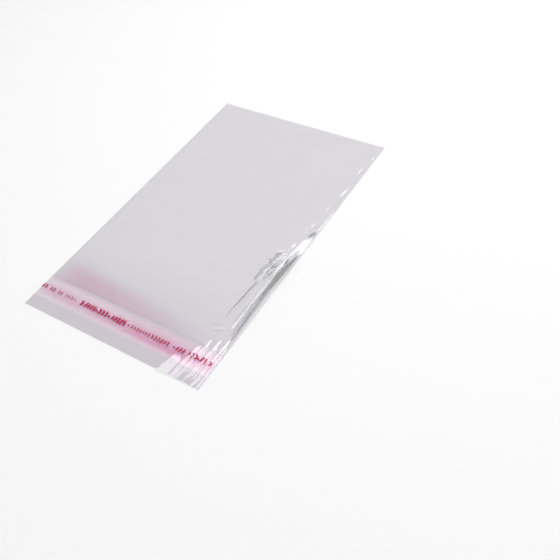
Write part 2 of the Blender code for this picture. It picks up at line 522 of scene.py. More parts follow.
@dataclass(frozen=True)
class SparkTreatment:
    """How far the film's face is roughened with sparks, so that the adhesive holds. Lengths are metres."""

    liner_edge: float = 0.001
    under_liner: float = 0.75  # the share that the liner hides
    mouth_edge: float = 0.0006
    front: float = 0.3  # how strong it is on the front panel, next to the whole flap
    front_run: float = 0.045
    right_loss: float = 0.6

    def share(self, s: BagSizes, x: np.ndarray, y: np.ndarray, in_front: np.ndarray) -> np.ndarray:
        """Work out how far the film is treated at each point.

        The whole flap is, and looks less so under the liner. On the front panel the treatment is a third
        as strong at the mouth, fades over 45 mm, and is weaker to the right of the middle.

        Args:
            s: the bag's sizes.
            x: X of each point.
            y: Y of each point.
            in_front: whether each row belongs to the front panel.

        Returns:
            A share from 0 to 1 at each point.
        """
        inside_liner = s.liner_width / 2 + self.liner_edge / 2 - np.abs(y - s.liner_middle)
        hidden = self.under_liner * smooth(inside_liner / self.liner_edge)
        flap = (1.0 - hidden) * smooth((s.mouth + self.mouth_edge / 2 - y) / self.mouth_edge)
        fade = 1.0 - smooth((y - s.mouth) / self.front_run)
        front = self.front * fade * (1.0 - self.right_loss * smooth(x / s.half_film))
        return np.where(in_front[:, None], front, flap)


@dataclass(frozen=True)
class DyeBlush:
    """How far the liner's dye tints the front panel near the mouth. Runs are metres."""

    run: float = 0.017  # over which it clears at the left end
    shortening: float = 0.010  # by which that is less at the right end
    full: float = 0.4  # of the run, before it starts to clear
    swell_start: float = -0.03  # shares of the bag's width, from the left
    swell_run: float = 0.17
    loss_start: float = 0.2
    loss_run: float = 0.8
    loss: float = 0.85

    def share(self, s: BagSizes, x: np.ndarray, y: np.ndarray, in_front: np.ndarray) -> np.ndarray:
        """Work out how far the film is tinted at each point.

        Along the bag the tint is full at the mouth and clears in a smooth step. Along the mouth it
        swells quickly from the left end and dies away slowly towards the right end.

        Args:
            s: the bag's sizes.
            x: X of each point.
            y: Y of each point.
            in_front: whether each row belongs to the front panel.

        Returns:
            A share from 0 to 1 at each point.
        """
        right = x / s.width + 0.5
        clears = self.run - self.shortening * right
        along = 1.0 - smooth((y - s.mouth - self.full * clears) / clears)
        swell = smooth((right - self.swell_start) / self.swell_run)
        across = swell * (1.0 - self.loss * smooth((right - self.loss_start) / self.loss_run))
        return along * across * in_front[:, None]


@dataclass
class BagSurface:
    """The heights of the film everywhere: what both panels follow, and what the front panel adds."""

    sizes: BagSizes = field(default_factory=BagSizes)
    wave: SlowWave = SlowWave()
    front_creases: list[Crease] = field(init=False)
    painted_shade: list[LeafPatch] = field(init=False)

    def __post_init__(self) -> None:
        """Gather the placed creases and draw those that come by chance."""
        rng = np.random.default_rng(SEED)
        self.front_creases = list(FRONT_CREASES) + FaintStreaks().draws(rng)
        # Painted fold shade, to which each knot adds its own
        self.painted_shade = list(PAINTED_SHADE_PATCHES)
        for knot in KNOTS:
            creases, painted_shade = knot.draws(rng)
            self.front_creases += creases
            self.painted_shade += painted_shade

    def lift(self, x: np.ndarray, y: np.ndarray) -> np.ndarray:
        """How far the creases hold the film off the table: the highest ridge at each point."""
        shapes = (*GROUND_CREASES, *GROUND_SWELLS)
        return np.max([shape.relief(self.sizes, x, y) for shape in shapes], axis=0)

    def back(self, x: np.ndarray, y: np.ndarray) -> np.ndarray:
        """Work out the middle of the back panel and the flap.

        They lie on the table at half the film's thickness, climb to the weld bead in a smooth step over
        the last millimetres, and rise with the creases.

        Args:
            x: X of each point.
            y: Y of each point.

        Returns:
            The height of the film's middle, in metres.
        """
        s = self.sizes
        at_weld = s.weld_radius - s.weld_gap / 2
        climb = smooth((np.abs(x) - s.half_film + s.weld_rise) / s.weld_rise)
        return s.film / 2 + (at_weld - s.film / 2) * climb + self.lift(x, y)

    def gap(self, x: np.ndarray, y: np.ndarray) -> np.ndarray:
        """Work out the distance between the middles of the two panels.

        It is the gap at the weld plus the loft, times one less the fourth power of the place across,
        times a smooth rise from the mouth, times one less the fourth power of the place along.

        Args:
            x: X of each point.
            y: Y of each point.

        Returns:
            The gap in metres.
        """
        s = self.sizes
        across = 1.0 - np.abs(x / s.half_film) ** 4
        along = np.clip((y - s.mouth) / s.pouch_length, 0.0, 1.0)
        mouth = s.mouth_loft + (1.0 - s.mouth_loft) * smooth((y - s.mouth) / s.mouth_run)
        return s.weld_gap + s.loft * across * mouth * (1.0 - along**4)

    def front_relief(self, x: np.ndarray, y: np.ndarray) -> np.ndarray:
        """Work out what the front panel adds: its fine folds one over another, and a slow wave.

        The wave dies out with the gap between the panels, so that it never presses them together.

        Args:
            x: X of each point.
            y: Y of each point.

        Returns:
            The added height in metres.
        """
        folds = np.sum([crease.relief(self.sizes, x, y) for crease in self.front_creases], axis=0)
        buckles = np.sum([c.relief(self.sizes, x, y) for c in FRONT_CRESCENTS], axis=0)
        room = np.clip((self.gap(x, y) - self.sizes.weld_gap) / self.sizes.loft, 0.0, 1.0)
        return folds + buckles + self.wave.relief(x, y) * room

    def painted_shade_amount(self, x: np.ndarray, y: np.ndarray) -> np.ndarray:
        """How strongly the painted fold shade darkens the film: the strongest patch at each point."""
        return np.max([patch.amount(self.sizes, x, y) for patch in self.painted_shade], axis=0)

    def painted_highlight_amount(self, x: np.ndarray, y: np.ndarray) -> np.ndarray:
        """How strongly a painted highlight whitens the film along a sharp fold: the strongest patch at each
        point.
        """
        return np.max([patch.amount(self.sizes, x, y) for patch in PAINTED_HIGHLIGHT_PATCHES], axis=0)


# Meshes


def shell_object(
    name: str, points: np.ndarray, thickness: float, attributes: Mapping[str, np.ndarray]
) -> bpy.types.Object:
    """Give a grid of points a wall and make it a closed mesh.

    The wall's two faces lie half the thickness to each side along the grid's own normals, which are the
    cross products of its steps along columns and rows. A ring of quads closes the rim, whose edges are
    sharp.

    Args:
        name: the piece's name.
        points: rows by columns by 3. The cross product of column step and row step points outwards.
        thickness: the wall's thickness in metres.
        attributes: values by name, rows by columns, kept as point attributes.

    Returns:
        The new object.
    """
    rows, columns = points.shape[:2]
    count = rows * columns
    normal = np.cross(np.gradient(points, axis=1), np.gradient(points, axis=0))
    normal /= np.linalg.norm(normal, axis=2, keepdims=True)
    step = normal * thickness / 2
    vertices = np.concatenate(((points + step).reshape(-1, 3), (points - step).reshape(-1, 3)))
    index = np.arange(count).reshape(rows, columns)
    corners = (index[:-1, :-1], index[:-1, 1:], index[1:, 1:], index[1:, :-1])
    upper = np.stack(corners, axis=2).reshape(-1, 4)
    lower = upper[:, ::-1] + count
    ring = np.concatenate((index[0, :-1], index[:-1, -1], index[-1, :0:-1], index[:0:-1, 0]))
    after = np.roll(ring, -1)
    rim = np.stack((after, ring, ring + count, after + count), axis=1)
    mesh = bpy.data.meshes.new(name)
    mesh.from_pydata(vertices.tolist(), [], np.concatenate((upper, lower, rim)).tolist())
    mesh.shade_smooth()
    on_ring = np.zeros(2 * count, bool)
    on_ring[ring] = True
    on_ring[ring + count] = True
    ends = np.empty(2 * len(mesh.edges), np.int32)
    mesh.edges.foreach_get("vertices", ends)
    first, second = ends.reshape(-1, 2).T
    sharp = on_ring[first] & on_ring[second]
    mesh.attributes.new("sharp_edge", "BOOLEAN", "EDGE").data.foreach_set("value", sharp)
    for label, values in attributes.items():
        both = np.tile(values.ravel(), 2).astype(np.float32)
        mesh.attributes.new(label, "FLOAT", "POINT").data.foreach_set("value", both)
    return linked_object(name, mesh)


def tube_object(name: str, path: np.ndarray, radius: float, sides: int) -> bpy.types.Object:
    """Carry a circle along a path that runs mainly along Y, and close both ends with a low point.

    Each ring is the path's point plus the radius times the cosine along X and the sine along Z. The end
    points stand half a radius beyond the path.

    Args:
        name: the piece's name.
        path: the middle line, as rows of X, Y and Z.
        radius: the tube's radius in metres.
        sides: how many corners the circle has.

    Returns:
        The new object.
    """
    turn = 2 * np.pi * np.arange(sides) / sides
    circle = np.column_stack((np.cos(turn), np.zeros(sides), np.sin(turn))) * radius
    rings = (path[:, None, :] + circle[None]).reshape(-1, 3)
    count = len(path)
    tips = path[[0, -1]] + np.array(((0.0, -radius / 2, 0.0), (0.0, radius / 2, 0.0)))
    vertices = np.concatenate((rings, tips))
    index = np.arange(count * sides).reshape(count, sides)
    after = np.roll(index, -1, axis=1)
    wall = np.stack((index[:-1], index[1:], after[1:], after[:-1]), axis=2).reshape(-1, 4)
    start = np.stack((index[0], after[0], np.full(sides, count * sides)), axis=1)
    end = np.stack((after[-1], index[-1], np.full(sides, count * sides + 1)), axis=1)
    mesh = bpy.data.meshes.new(name)
    mesh.from_pydata(vertices.tolist(), [], wall.tolist() + start.tolist() + end.tolist())
    mesh.shade_smooth()
    return linked_object(name, mesh)


def linked_object(name: str, mesh: bpy.types.Mesh) -> bpy.types.Object:
    """Make an object of a mesh at the origin and put it in the scene.

    Args:
        name: the object's name.
        mesh: its mesh.

    Returns:
        The new object.
    """
    obj = bpy.data.objects.new(name, mesh)
    bpy.context.scene.collection.objects.link(obj)
    return obj


# Finishes


def add_node(
    tree: bpy.types.NodeTree,
    kind: str,
    values: Mapping[str | int, object] | None = None,
    links: Mapping[str | int, bpy.types.NodeSocket] | None = None,
    **settings: object,
) -> bpy.types.Node:
    """Add a node with its settings and links.

    Args:
        tree: the tree that gets the node.
        kind: the node's type.
        values: constants by input socket.
        links: output sockets of other nodes by input socket.
        settings: the node's own properties.

    Returns:
        The new node.
    """
    node = tree.nodes.new(kind)
    for name, value in settings.items():
        setattr(node, name, value)
    for socket, value in (values or {}).items():
        node.inputs[socket].default_value = value
    for socket, source in (links or {}).items():
        tree.links.new(source, node.inputs[socket])
    return node


def new_material(name: str) -> bpy.types.Material:
    """Make a material with an empty node tree.

    Args:
        name: the material's name.

    Returns:
        The new material.
    """
    material = bpy.data.materials.new(name)
    material.use_nodes = True
    material.node_tree.nodes.clear()
    return material


# The power by which a smooth face mirrors more as it is seen more edge-on
MIRROR_POWER = 5.0


@dataclass(frozen=True)
class SheerPlastic:
    """What every see-through finish of the bag shares: a tint, a milky haze and a glossy skin.

    Each wall has two faces, so each face has about half of what the wall shows.
    """

    name: str
    through: str  # the colour of light that has passed one face
    deep: str  # the same where the colour is deepest; on the bag film this is painted fold shade
    haze: str  # the milky colour of the plastic's own body
    deep_haze: str
    haze_share: float  # of the light that meets one face
    ior: float
    roughness: float
    grain: float  # height of the surface's fine relief, millimetres
    grain_across: float  # spacing of that relief across and along the web, millimetres
    grain_along: float

    def noise(
        self,
        tree: bpy.types.NodeTree,
        place: bpy.types.NodeSocket,
        across: float,
        along: float,
        detail: float,
        softness: float = 0.5,
    ) -> bpy.types.NodeSocket:
        """Mottle the surface at the plastic's own scale.

        Args:
            tree: the tree that gets the nodes.
            place: the place on the object.
            across: the mottling's spacing across the bag, in millimetres.
            along: its spacing along the bag.
            detail: how many finer layers lie over it.
            softness: how strong each finer layer is, next to the one before.

        Returns:
            Noise around one half.
        """
        scale = (1 / (across * MM), 1 / (along * MM), 1 / (across * MM))
        drawn = add_node(tree, "ShaderNodeMapping", {"Scale": scale}, {"Vector": place})
        values = {"Scale": 1.0, "Detail": detail, "Roughness": softness}
        return add_node(tree, "ShaderNodeTexNoise", values, {"Vector": drawn.outputs[0]}).outputs["Fac"]

    def stretched(
        self, tree: bpy.types.NodeTree, noise: bpy.types.NodeSocket, to: Range
    ) -> bpy.types.NodeSocket:
        """Stretch noise, which hardly leaves the range from 0.3 to 0.7, to another range."""
        values = {"From Min": 0.3, "From Max": 0.7, "To Min": to[0], "To Max": to[1]}
        return add_node(tree, "ShaderNodeMapRange", values, {"Value": noise}).outputs[0]

    def depth(self, tree: bpy.types.NodeTree, place: bpy.types.NodeSocket) -> bpy.types.NodeSocket:
        """Give the share of the deep colour at each point: by default the painted fold shade that the film
        web carries. Finishes override this.
        """
        return add_node(tree, "ShaderNodeAttribute", attribute_name="painted_shade").outputs["Fac"]

    def tinted(self, tree: bpy.types.NodeTree, tint: bpy.types.NodeSocket) -> bpy.types.NodeSocket:
        """Give the colour that passes one face. Finishes override this."""
        return tint

    def painted_highlight(self, tree: bpy.types.NodeTree, body: bpy.types.NodeSocket) -> bpy.types.NodeSocket:
        """Give the shader of the plastic under its skin, where a finish may mix in a painted highlight.
        Finishes override this.
        """
        return body

    def build(self) -> bpy.types.Material:
        """Build the material.

        Light that isn't mirrored passes the tint, apart from the haze's share, which scatters. The
        mirrored share is that of a thin wall, alike from both sides: the share straight on, which comes
        from the refractive index, plus the rest times the fifth power of how edge-on the face is.

        Returns:
            The material.
        """
        material = new_material(self.name)
        tree = material.node_tree
        place = add_node(tree, "ShaderNodeTexCoord").outputs["Object"]
        depth = self.depth(tree, place)
        lines = self.noise(tree, place, self.grain_across, self.grain_along, detail=2.0, softness=0.55)
        relief = add_node(
            tree,
            "ShaderNodeBump",
            {"Strength": 1.0, "Distance": self.grain * MM},
            {"Height": lines},
        )
        tint = add_node(
            tree,
            "ShaderNodeMix",
            {6: linear(self.through), 7: linear(self.deep)},
            {0: depth},
            data_type="RGBA",
        )
        milk = add_node(
            tree,
            "ShaderNodeMix",
            {6: linear(self.haze), 7: linear(self.deep_haze)},
            {0: depth},
            data_type="RGBA",
        )
        clear = add_node(
            tree, "ShaderNodeBsdfTransparent", links={"Color": self.tinted(tree, tint.outputs[2])}
        )
        scatter = add_node(tree, "ShaderNodeBsdfDiffuse", links={"Color": milk.outputs[2]})
        body = add_node(
            tree,
            "ShaderNodeMixShader",
            {0: self.haze_share},
            {1: clear.outputs[0], 2: scatter.outputs[0]},
        )
        skin = add_node(
            tree,
            "ShaderNodeBsdfGlossy",
            {"Color": (1.0, 1.0, 1.0, 1.0), "Roughness": self.roughness},
            {"Normal": relief.outputs["Normal"]},
        )
        edge_on = add_node(
            tree, "ShaderNodeLayerWeight", {"Blend": 0.5}, {"Normal": relief.outputs["Normal"]}
        )
        steep = add_node(
            tree, "ShaderNodeMath", {1: MIRROR_POWER}, {0: edge_on.outputs["Facing"]}, operation="POWER"
        )
        straight_on = ((self.ior - 1.0) / (self.ior + 1.0)) ** 2
        mirrored = add_node(
            tree,
            "ShaderNodeMath",
            {1: 1.0 - straight_on, 2: straight_on},
            {0: steep.outputs[0]},
            operation="MULTIPLY_ADD",
        )
        whole = add_node(
            tree,
            "ShaderNodeMixShader",
            links={0: mirrored.outputs[0], 1: self.painted_highlight(tree, body.outputs[0]), 2: skin.outputs[0]},
        )
        add_node(tree, "ShaderNodeOutputMaterial", links={"Surface": whole.outputs[0]})
        return material


@dataclass(frozen=True)
class BagFilm(SheerPlastic):
    """Oriented polypropylene film, cast and stretched both ways: clear, glassy, faintly lilac grey.

    Faint drawn lines run along the web, the way it left the die. Painted shade turns the film a dark
    neutral grey with paler streaks along it, where it is drawn as folded on itself: along folds and in the
    band beside the right weld. The flap's face is roughened with sparks so that the adhesive holds, which
    makes it a duller lilac grey. Beyond the liner the film has a pink blush of dye. Sharp folds carry a
    painted highlight of near-white.
    """

    name: str = "oriented_polypropylene_film"
    through: str = "#FDFDFD"
    # Painted fold shade: its tint
    deep: str = "#D1D3D3"
    haze: str = "#D6CAE2"
    # Painted fold shade: its dark haze
    deep_haze: str = "#9A9C9D"
    haze_share: float = 0.04
    ior: float = 1.49
    roughness: float = 0.05
    grain: float = 0.004
    grain_across: float = 1.6
    grain_along: float = 60.0
    treated: str = "#F5F3F5"
    blush: str = "#F8F1F4"
    # A near-white painted highlight along sharp folds, and how much of the light it takes
    highlight_white: str = "#FCFBFD"
    highlight_share: float = 0.8
    # Streaks in the painted fold shade
    streak_across: float = 1.1  # millimetres
    streak_along: float = 14.0
    streak_range: Range = (0.72, 1.12)

    def depth(self, tree: bpy.types.NodeTree, place: bpy.types.NodeSocket) -> bpy.types.NodeSocket:
        """Vary the painted fold shade's darkness in streaks along the web.

        Args:
            tree: the tree that gets the nodes.
            place: the place on the object.

        Returns:
            The share of the deep colour.
        """
        noise = self.noise(tree, place, self.streak_across, self.streak_along, detail=1.0)
        links = {0: super().depth(tree, place), 1: self.stretched(tree, noise, self.streak_range)}
        both = add_node(tree, "ShaderNodeMath", links=links, operation="MULTIPLY", use_clamp=True)
        return both.outputs[0]

    def tinted(self, tree: bpy.types.NodeTree, tint: bpy.types.NodeSocket) -> bpy.types.NodeSocket:
        """Mix in the colours of treated and of blushed film by the attributes that say how far.

        Args:
            tree: the tree that gets the nodes.
            tint: the colour that passes one face of plain film.

        Returns:
            The colour that passes one face.
        """
        for name, colour in (("treated", self.treated), ("blush", self.blush)):
            share = add_node(tree, "ShaderNodeAttribute", attribute_name=name).outputs["Fac"]
            values, links = {7: linear(colour)}, {0: share, 6: tint}
            tint = add_node(tree, "ShaderNodeMix", values, links, data_type="RGBA").outputs[2]
        return tint

    def painted_highlight(self, tree: bpy.types.NodeTree, body: bpy.types.NodeSocket) -> bpy.types.NodeSocket:
        """Mix in a painted highlight: a near-white diffuse along the sharp folds that the attribute marks.

        Args:
            tree: the tree that gets the nodes.
            body: the shader of the plain film.

        Returns:
            The shader of the film under its skin.
        """
        highlight_white = add_node(tree, "ShaderNodeBsdfDiffuse", {"Color": linear(self.highlight_white)})
        marked = add_node(tree, "ShaderNodeAttribute", attribute_name="painted_highlight").outputs["Fac"]
        values = {1: self.highlight_share}
        share = add_node(tree, "ShaderNodeMath", values, {0: marked}, operation="MULTIPLY")
        links = {0: share.outputs[0], 1: body, 2: highlight_white.outputs[0]}
        return add_node(tree, "ShaderNodeMixShader", links=links).outputs[0]


@dataclass(frozen=True)
class WeldedFilm(SheerPlastic):
    """The same film melted into a bead by a hot knife: whiter and duller than the film."""

    name: str = "melted_polypropylene_bead"
    through: str = "#FCFCFD"
    deep: str = "#D0D4CF"
    haze: str = "#F2F0F4"
    deep_haze: str = "#A9ADA9"
    haze_share: float = 0.40
    ior: float = 1.49
    roughness: float = 0.18
    grain: float = 0.02
    grain_across: float = 0.6
    grain_along: float = 0.9


@dataclass(frozen=True)
class TackyAdhesive(SheerPlastic):
    """Acrylic pressure-sensitive adhesive, coated as a wet line: clear, soft-looking, a little pink."""

    name: str = "acrylic_adhesive"
    through: str = "#FFFEFF"
    deep: str = "#FFFBFE"
    haze: str = "#F2DFE9"
    deep_haze: str = "#EBCCDC"
    haze_share: float = 0.03
    ior: float = 1.2  # low, because the real coat touches film and liner and has no face in air
    roughness: float = 0.22
    grain: float = 0.02
    grain_across: float = 5.0
    grain_along: float = 1.2
    blotch: float = 7.0  # millimetres across

    def depth(self, tree: bpy.types.NodeTree, place: bpy.types.NodeSocket) -> bpy.types.NodeSocket:
        """Vary the coat's thickness in blotches."""
        return self.noise(tree, place, self.blotch, self.blotch, detail=1.0)


@dataclass(frozen=True)
class PinkLiner(SheerPlastic):
    """Siliconised liner film, dyed in the mass: sheer pale pink, deeper where the adhesive wets it."""

    name: str = "siliconised_liner_film"
    through: str = "#FFFDFE"
    deep: str = "#FDECF5"
    haze: str = "#F6E4EE"
    deep_haze: str = "#EDBDD3"
    haze_share: float = 0.06
    ior: float = 1.41
    roughness: float = 0.12
    grain: float = 0.006
    grain_across: float = 40.0
    grain_along: float = 1.4
    # Places across the liner and how deep the colour is there: pale, deepest at a third, then half pale
    band: tuple[Place, ...] = ((0.0, 0.12), (0.14, 0.35), (0.3, 1.0), (0.46, 0.9), (0.62, 0.35), (1.0, 0.42))
    # The same along it: nearly clear at the left, deepest where it is pressed down hardest
    pressed: tuple[Place, ...] = (
        (0.02, 0.12),
        (0.14, 0.42),
        (0.45, 0.34),
        (0.62, 0.95),
        (0.8, 0.85),
        (0.92, 0.5),
    )
    half_length: float = 0.070  # metres from the middle of the liner to the bag's sides
    blotch_across: float = 9.09  # millimetres
    blotch_along: float = 3.846
    blotch_range: Range = (0.6, 1.3)

    def profile(
        self, tree: bpy.types.NodeTree, value: bpy.types.NodeSocket, stops: Sequence[Place]
    ) -> bpy.types.NodeSocket:
        """Turn a value into another by a smooth profile.

        Args:
            tree: the tree that gets the nodes.
            value: what the profile goes by, from 0 to 1.
            stops: places from 0 to 1 and the profile's value at each, in rising order.

        Returns:
            The profile's value.
        """
        node = add_node(tree, "ShaderNodeValToRGB", links={"Fac": value})
        ramp = node.color_ramp
        ramp.interpolation = "B_SPLINE"
        while len(ramp.elements) < len(stops):
            ramp.elements.new(0.5)
        for element, (place, amount) in zip(ramp.elements, stops):
            element.position = place
            element.color = (amount, amount, amount, 1.0)
        return add_node(tree, "ShaderNodeSeparateColor", links={0: node.outputs["Color"]}).outputs[0]

    def depth(self, tree: bpy.types.NodeTree, place: bpy.types.NodeSocket) -> bpy.types.NodeSocket:
        """Deepen the colour in a band under the printed line, in blotches.

        One profile goes by the place across the liner, from an attribute that runs from 0 at its edge
        towards the flap's edge to 1 at the other. The other profile goes by X. Their product is mottled
        by noise.

        Args:
            tree: the tree that gets the nodes.
            place: the place on the object.

        Returns:
            The share of the deep colour.
        """
        across = add_node(tree, "ShaderNodeAttribute", attribute_name="across").outputs["Fac"]
        band = self.profile(tree, across, self.band)
        apart = add_node(tree, "ShaderNodeSeparateXYZ", links={0: place})
        sideways = add_node(
            tree,
            "ShaderNodeMapRange",
            {"From Min": -self.half_length, "From Max": self.half_length, "To Min": 0.0, "To Max": 1.0},
            {"Value": apart.outputs["X"]},
        )
        pressed = self.profile(tree, sideways.outputs[0], self.pressed)
        noise = self.noise(tree, place, self.blotch_across, self.blotch_along, detail=2.0)
        links = {0: band, 1: self.stretched(tree, noise, self.blotch_range)}
        patchy = add_node(tree, "ShaderNodeMath", links=links, operation="MULTIPLY")
        links = {0: patchy.outputs[0], 1: pressed}
        both = add_node(tree, "ShaderNodeMath", links=links, operation="MULTIPLY", use_clamp=True)
        return both.outputs[0]


@dataclass(frozen=True)
class CrimsonInk:
    """Solvent ink, printed by flexography: matt crimson, thin and patchy on the slippery liner."""

    name: str = "flexographic_ink"
    full: str = "#B8004E"
    thin: str = "#C92468"
    roughness: float = 0.5
    ior: float = 1.5
    patch: float = 1.4  # millimetres between the middles of thin places

    def build(self) -> bpy.types.Material:
        """Build the material: two crimsons mixed by patches of noise at the ink's own scale.

        Returns:
            The material.
        """
        material = new_material(self.name)
        tree = material.node_tree
        place = add_node(tree, "ShaderNodeTexCoord").outputs["Object"]
        patches = add_node(
            tree,
            "ShaderNodeTexNoise",
            {"Scale": 1 / (self.patch * MM), "Detail": 3.0, "Roughness": 0.6},
            {"Vector": place},
        )
        weight = add_node(tree, "ShaderNodeAttribute", attribute_name="weight").outputs["Fac"]
        links = {0: patches.outputs["Fac"], 1: weight}
        thinness = add_node(tree, "ShaderNodeMath", links=links, operation="SUBTRACT", use_clamp=True)
        ink = add_node(
            tree,
            "ShaderNodeMix",
            {6: linear(self.full), 7: linear(self.thin)},
            {0: thinness.outputs[0]},
            data_type="RGBA",
        )
        shader = add_node(
            tree,
            "ShaderNodeBsdfPrincipled",
            {"Roughness": self.roughness, "IOR": self.ior},
            {"Base Color": ink.outputs[2]},
        )
        add_node(tree, "ShaderNodeOutputMaterial", links={"Surface": shader.outputs[0]})
        return material


@dataclass(frozen=True)
class MattBoard:
    """Painted studio board: plain matt white, with no grain that would show."""

    name: str = "painted_board"
    colour: str = "#F6F6F6"

    def build(self) -> bpy.types.Material:
        """Build the material.

        Returns:
            The material.
        """
        material = new_material(self.name)
        tree = material.node_tree
        shader = add_node(tree, "ShaderNodeBsdfDiffuse", {"Color": linear(self.colour), "Roughness": 0.0})
        add_node(tree, "ShaderNodeOutputMaterial", links={"Surface": shader.outputs[0]})
        return material


# The bag's pieces


@dataclass
class FilmWeb:
    """The folded web of film and its two side welds."""

    surface: BagSurface
    plain_columns: int = 20
    widening: float = 1.5
    creased_columns: int = 28
    knotted_columns: int = 84
    creased_run: float = 0.037
    knotted_run: float = 0.020
    flap_rows: int = 40
    back_step: float = 0.0026
    front_step: float = 0.00062
    coarse_step: float = 0.0016
    fine_run: float = 0.106
    fold_rows: int = 8
    bead_sides: int = 10
    bead_step: float = 0.001

    def columns(self, half_length: float) -> np.ndarray:
        """Place the columns.

        Over the plain part they widen from the left side on, by a power of their share of it. In the
        creased strip at the right they are even, and narrowest where the knot and the dark band lie.

        Args:
            half_length: from the middle line to the first and the last column.

        Returns:
            X of each column.
        """
        half = self.surface.sizes.width / 2
        outer, inner = half - self.creased_run, half - self.knotted_run
        share = np.linspace(0.0, 1.0, self.plain_columns, endpoint=False) ** self.widening
        wide = -half_length + share * (outer + half_length)
        creased = np.linspace(outer, inner, self.creased_columns, endpoint=False)
        return np.concatenate((wide, creased, np.linspace(inner, half_length, self.knotted_columns + 1)))

    def stations(self) -> tuple[np.ndarray, np.ndarray, np.ndarray]:
        """Walk along the web from the flap's edge to the mouth.

        Returns:
            Y of each row before the fold's bulge is added, the fold's turn in radians, and whether the
            row belongs to the front panel.
        """
        s = self.surface.sizes
        start = s.fold - s.weld_gap / 2 - s.film / 2
        flap = np.linspace(s.flap_edge, s.mouth, self.flap_rows, endpoint=False)
        back = np.linspace(s.mouth, start, round((start - s.mouth) / self.back_step), endpoint=False)
        fine_end = s.mouth + self.fine_run
        coarse_rows = round((start - fine_end) / self.coarse_step)
        coarse = np.linspace(start, fine_end, coarse_rows, endpoint=False)
        fine = np.linspace(fine_end, s.mouth, round(self.fine_run / self.front_step))
        turning = np.linspace(0.0, np.pi, self.fold_rows, endpoint=False)
        y = np.concatenate((flap, back, np.full(self.fold_rows, start), coarse, fine))
        behind = len(flap) + len(back)
        ahead = len(coarse) + len(fine)
        turn = np.concatenate((np.zeros(behind), turning, np.full(ahead, np.pi)))
        in_front = np.concatenate((np.zeros(behind + self.fold_rows, bool), np.ones(ahead, bool)))
        return y, turn, in_front

    def build_web(self) -> bpy.types.Object:
        """Build the web.

        Flap and back rows lie at the back panel's height. Fold rows go round half a circle whose radius
        is half the gap between the panels at the weld. Front rows lie above the back panel by the gap
        between the panels and the front panel's own folds.

        Returns:
            The film web.
        """
        s = self.surface.sizes
        y, turn, in_front = self.stations()
        x = self.columns(s.half_film)
        across, along = np.meshgrid(x, y)
        radius = s.weld_gap / 2
        base = self.surface.back(across, along)
        over = self.surface.gap(across, along) + self.surface.front_relief(across, along)
        round_fold = radius * (1.0 - np.cos(turn))[:, None]
        climb = np.where(in_front[:, None], over, round_fold)
        bulge = radius * np.sin(turn)[:, None]
        points = np.stack((across, along + bulge, base + climb), axis=2)
        # Painted fold shade, on the front panel alone
        painted_shade = self.surface.painted_shade_amount(across, along) * in_front[:, None]
        treated = SparkTreatment().share(s, across, along, in_front)
        blush = DyeBlush().share(s, across, along, in_front)
        # Painted highlight along sharp folds, on the front panel alone
        painted_highlight = self.surface.painted_highlight_amount(across, along) * in_front[:, None]
        shares = {"painted_shade": painted_shade, "treated": treated, "blush": blush, "painted_highlight": painted_highlight}
        return shell_object("film_web", points, s.film, shares)

    def build_bead(self, side: int) -> bpy.types.Object:
        """Build the melted bead along one side.

        Args:
            side: -1 for the left and +1 for the right.

        Returns:
            The bead.
        """
        s = self.surface.sizes
        reach = s.fold + s.weld_overrun
        y = np.linspace(-reach, reach, round(2 * reach / self.bead_step))
        x = np.full_like(y, side * s.half_film)
        z = self.surface.back(x, y) + s.weld_gap / 2
        name = "side_weld_left" if side < 0 else "side_weld_right"
        return tube_object(name, np.column_stack((x, y, z)), s.weld_radius, self.bead_sides)

    def build(self) -> list[bpy.types.Object]:
        """Build and dress the web and the beads.

        Returns:
            The pieces.
        """
        web = self.build_web()
        web.data.materials.append(BagFilm().build())
        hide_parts("bag_film")
        beads = [self.build_bead(side) for side in (-1, 1)]
        melted = WeldedFilm().build()
        for bead in beads:
            bead.data.materials.append(melted)
        for piece in (web, *beads):
            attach(piece, "root")
        return [web, *beads]


@dataclass
class Closure:
    """The adhesive line on the flap and the peel-off liner over it."""

    surface: BagSurface
    web: FilmWeb
    adhesive_rows: int = 9
    liner_rows: int = 17

    def heights(self) -> tuple[float, float]:
        """Stack the closure on the film.

        Returns:
            How far the middles of the adhesive and of the liner lie above the film's middle.
        """
        s = self.surface.sizes
        over_film = s.film / 2 + s.seat_gap + s.adhesive / 2
        return over_film, over_film + s.adhesive / 2 + s.seat_gap + s.liner / 2

    def strip(
        self, name: str, width: float, height: float, thickness: float, rows: int
    ) -> bpy.types.Object:
        """Build one strip, which follows the flap at a height above it.

        Args:
            name: the piece's name.
            width: the strip's width along Y.
            height: how far its middle lies above the film's middle.
            thickness: its thickness.
            rows: how many rows it has.

        Returns:
            The strip.
        """
        s = self.surface.sizes
        x = self.web.columns(s.strip_half_length)
        share = np.linspace(0.0, 1.0, rows)
        across, along = np.meshgrid(x, s.liner_middle + (share - 0.5) * width)
        points = np.stack((across, along, self.surface.back(across, along) + height), axis=2)
        place_across = np.repeat(share[:, None], len(x), axis=1)
        return shell_object(name, points, thickness, {"across": place_across})

    def build(self) -> list[bpy.types.Object]:
        """Build and dress the adhesive and the liner.

        Returns:
            The pieces.
        """
        s = self.surface.sizes
        low, high = self.heights()
        adhesive = self.strip("adhesive_line", s.adhesive_width, low, s.adhesive, self.adhesive_rows)
        adhesive.data.materials.append(TackyAdhesive().build())
        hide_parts("adhesive_strip")
        liner = self.strip("liner_tape", s.liner_width, high, s.liner, self.liner_rows)
        liner.data.materials.append(PinkLiner().build())
        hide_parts("release_liner")
        for piece in (adhesive, liner):
            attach(piece, "root")
        return [adhesive, liner]


class Mark(Enum):
    """The plain shapes that the printed line is made of."""

    BARS = "slanted bars"
    CHEVRONS = "chevrons"
    DOTS = "square dots"
    DASHES = "dashes"


